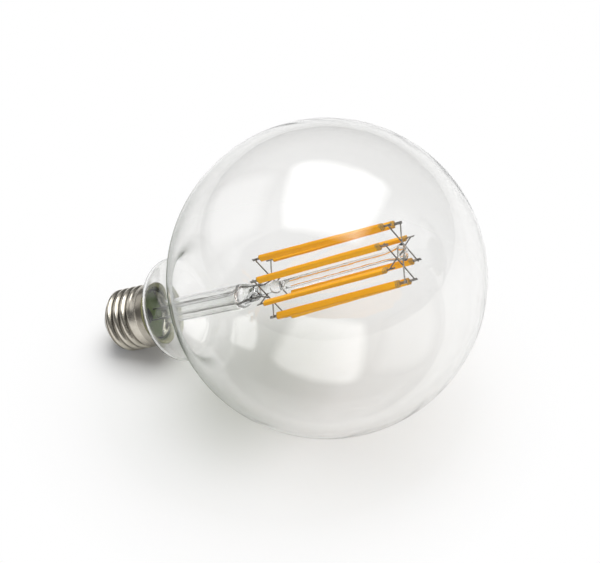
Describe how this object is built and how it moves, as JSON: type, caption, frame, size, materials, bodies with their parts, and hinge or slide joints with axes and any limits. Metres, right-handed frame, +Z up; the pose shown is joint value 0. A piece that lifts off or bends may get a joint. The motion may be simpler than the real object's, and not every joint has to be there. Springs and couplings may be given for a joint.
{
  "type": "globe bulb",
  "caption": "Large clear globe bulb with a tilted ring of straight amber light filaments on a glass stem, a waisted neck and a nickel-plated screw cap.",
  "frame": {"origin": "on the floor, under the middle of the lying bulb's box", "axes": "+Z up, +X along the floor from the cap towards the globe, +Y to the left of that; the bulb lies as on a table, with its axis in the XZ plane and 30.13 degrees above the floor towards the crown"},
  "size_m": [0.16, 0.125, 0.125],
  "materials": {
    "clear_glass": "clear, blown, high gloss",
    "mount_glass": "clear, fire polished",
    "amber_phosphor": "matt silicone and phosphor coat",
    "carrier_ceramic": "matt",
    "nickel_tab": "satin",
    "nickel_wire": "satin",
    "nickel_cap": "satin nickel plate",
    "cap_glass": "opaque, glossy",
    "contact_metal": "tinned, satin",
    "cement": "matt, granular",
    "board": "lacquered",
    "black_case": "moulded",
    "capacitor_can": "satin",
    "resistor_ceramic": "matt"
  },
  "bodies": {
    "root": {"basing_cement": "cement", "cap_insulator": "cap_glass", "cap_shell": "nickel_cap", "capacitor": "capacitor_can", "centre_contact": "contact_metal", "centre_rod": "mount_glass", "contact_wire": "nickel_wire", "driver_board": "board", "exhaust_tube": "mount_glass", "filament_1_carrier": "carrier_ceramic", "filament_1_coat": "amber_phosphor", "filament_1_lower_tab": "nickel_tab", "filament_1_upper_tab": "nickel_tab", "filament_2_carrier": "carrier_ceramic", "filament_2_coat": "amber_phosphor", "filament_2_lower_tab": "nickel_tab", "filament_2_upper_tab": "nickel_tab", "filament_3_carrier": "carrier_ceramic", "filament_3_coat": "amber_phosphor", "filament_3_lower_tab": "nickel_tab", "filament_3_upper_tab": "nickel_tab", "filament_4_carrier": "carrier_ceramic", "filament_4_coat": "amber_phosphor", "filament_4_lower_tab": "nickel_tab", "filament_4_upper_tab": "nickel_tab", "filament_5_carrier": "carrier_ceramic", "filament_5_coat": "amber_phosphor", "filament_5_lower_tab": "nickel_tab", "filament_5_upper_tab": "nickel_tab", "filament_6_carrier": "carrier_ceramic", "filament_6_coat": "amber_phosphor", "filament_6_lower_tab": "nickel_tab", "filament_6_upper_tab": "nickel_tab", "filament_7_carrier": "carrier_ceramic", "filament_7_coat": "amber_phosphor", "filament_7_lower_tab": "nickel_tab", "filament_7_upper_tab": "nickel_tab", "filament_8_carrier": "carrier_ceramic", "filament_8_coat": "amber_phosphor", "filament_8_lower_tab": "nickel_tab", "filament_8_upper_tab": "nickel_tab", "fusible_resistor": "resistor_ceramic", "glass_envelope": "clear_glass", "lead_wire_1": "nickel_wire", "lead_wire_2": "nickel_wire", "lower_branch_wire_1": "nickel_wire", "lower_branch_wire_2": "nickel_wire", "lower_branch_wire_3": "nickel_wire", "lower_branch_wire_4": "nickel_wire", "lower_chord_wire_1": "nickel_wire", "lower_chord_wire_2": "nickel_wire", "rectifier": "black_case", "shell_wire": "nickel_wire", "stem_flare": "mount_glass", "upper_chord_wire_1": "nickel_wire", "upper_chord_wire_2": "nickel_wire", "upper_cross_wire_1": "nickel_wire", "upper_cross_wire_2": "nickel_wire"}
  },
  "joints": []
}
